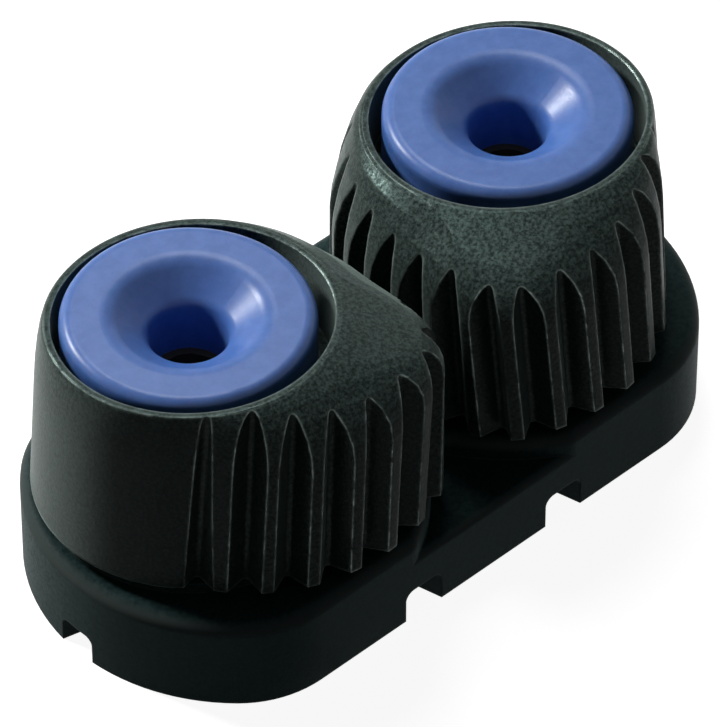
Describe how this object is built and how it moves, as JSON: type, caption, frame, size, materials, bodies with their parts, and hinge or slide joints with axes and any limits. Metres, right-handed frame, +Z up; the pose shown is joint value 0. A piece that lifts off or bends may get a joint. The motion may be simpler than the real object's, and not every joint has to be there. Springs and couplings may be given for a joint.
{
  "type": "cam cleat",
  "caption": "Cam cleat for sheets and halyards: sprung toothed cams turn on ball rows under domed caps and grip a line between them.",
  "frame": {"origin": "on the deck face, midway between the two fastener holes", "axes": "+X from the left cam's pivot to the right one, +Z up from the deck along the fasteners, and the noses of the cams point to -Y, the way the line is hauled"},
  "size_m": [0.0684, 0.0343, 0.0306],
  "materials": {
    "base_plastic": "satin moulded, near black",
    "cam_plastic": "fibre-filled, mottled black with a green-grey cast",
    "cap_plastic": "satin blue",
    "post_steel": "turned",
    "race_steel": "ground",
    "ball_steel": "polished",
    "spring_steel": "drawn wire"
  },
  "bodies": {
    "base": {"base": "base_plastic", "post_left": "post_steel", "post_right": "post_steel", "lower_race_left": "race_steel", "lower_race_right": "race_steel", "upper_race_left": "race_steel", "upper_race_right": "race_steel", "cap_left": "cap_plastic", "cap_right": "cap_plastic", "spring_left": "spring_steel", "spring_right": "spring_steel"},
    "cam_left": {"cam_left": "cam_plastic"},
    "cam_right": {"cam_right": "cam_plastic"},
    "lower_row_left": {"lower_balls_left": "ball_steel"},
    "lower_row_right": {"lower_balls_right": "ball_steel"},
    "upper_row_left": {"upper_balls_left": "ball_steel"},
    "upper_row_right": {"upper_balls_right": "ball_steel"}
  },
  "joints": [
    {"name": "cam_left_pivot", "type": "hinge", "parent": "base", "child": "cam_left", "pos_m": [-0.019, 0, 0], "axis": [0, 0, 1], "range_deg": [-80, 0], "stiffness_Nm_per_rad": 0.02, "springref_deg": 68.75, "deforming": ["spring_left"]},
    {"name": "cam_right_pivot", "type": "hinge", "parent": "base", "child": "cam_right", "pos_m": [0.019, 0, 0], "axis": [0, 0, 1], "range_deg": [0, 80], "stiffness_Nm_per_rad": 0.02, "springref_deg": -68.75, "deforming": ["spring_right"]},
    {"name": "lower_row_left_spin", "type": "hinge", "parent": "base", "child": "lower_row_left", "pos_m": [-0.019, 0, 0], "axis": [0, 0, 1], "range_deg": [-40, 0]},
    {"name": "lower_row_right_spin", "type": "hinge", "parent": "base", "child": "lower_row_right", "pos_m": [0.019, 0, 0], "axis": [0, 0, 1], "range_deg": [0, 40]},
    {"name": "upper_row_left_spin", "type": "hinge", "parent": "base", "child": "upper_row_left", "pos_m": [-0.019, 0, 0], "axis": [0, 0, 1], "range_deg": [-40, 0]},
    {"name": "upper_row_right_spin", "type": "hinge", "parent": "base", "child": "upper_row_right", "pos_m": [0.019, 0, 0], "axis": [0, 0, 1], "range_deg": [0, 40]}
  ],
  "couplings": [
    {"joint": "lower_row_left_spin", "follows": "cam_left_pivot", "ratio": 0.5},
    {"joint": "upper_row_left_spin", "follows": "cam_left_pivot", "ratio": 0.5},
    {"joint": "lower_row_right_spin", "follows": "cam_right_pivot", "ratio": 0.5},
    {"joint": "upper_row_right_spin", "follows": "cam_right_pivot", "ratio": 0.5}
  ]
}
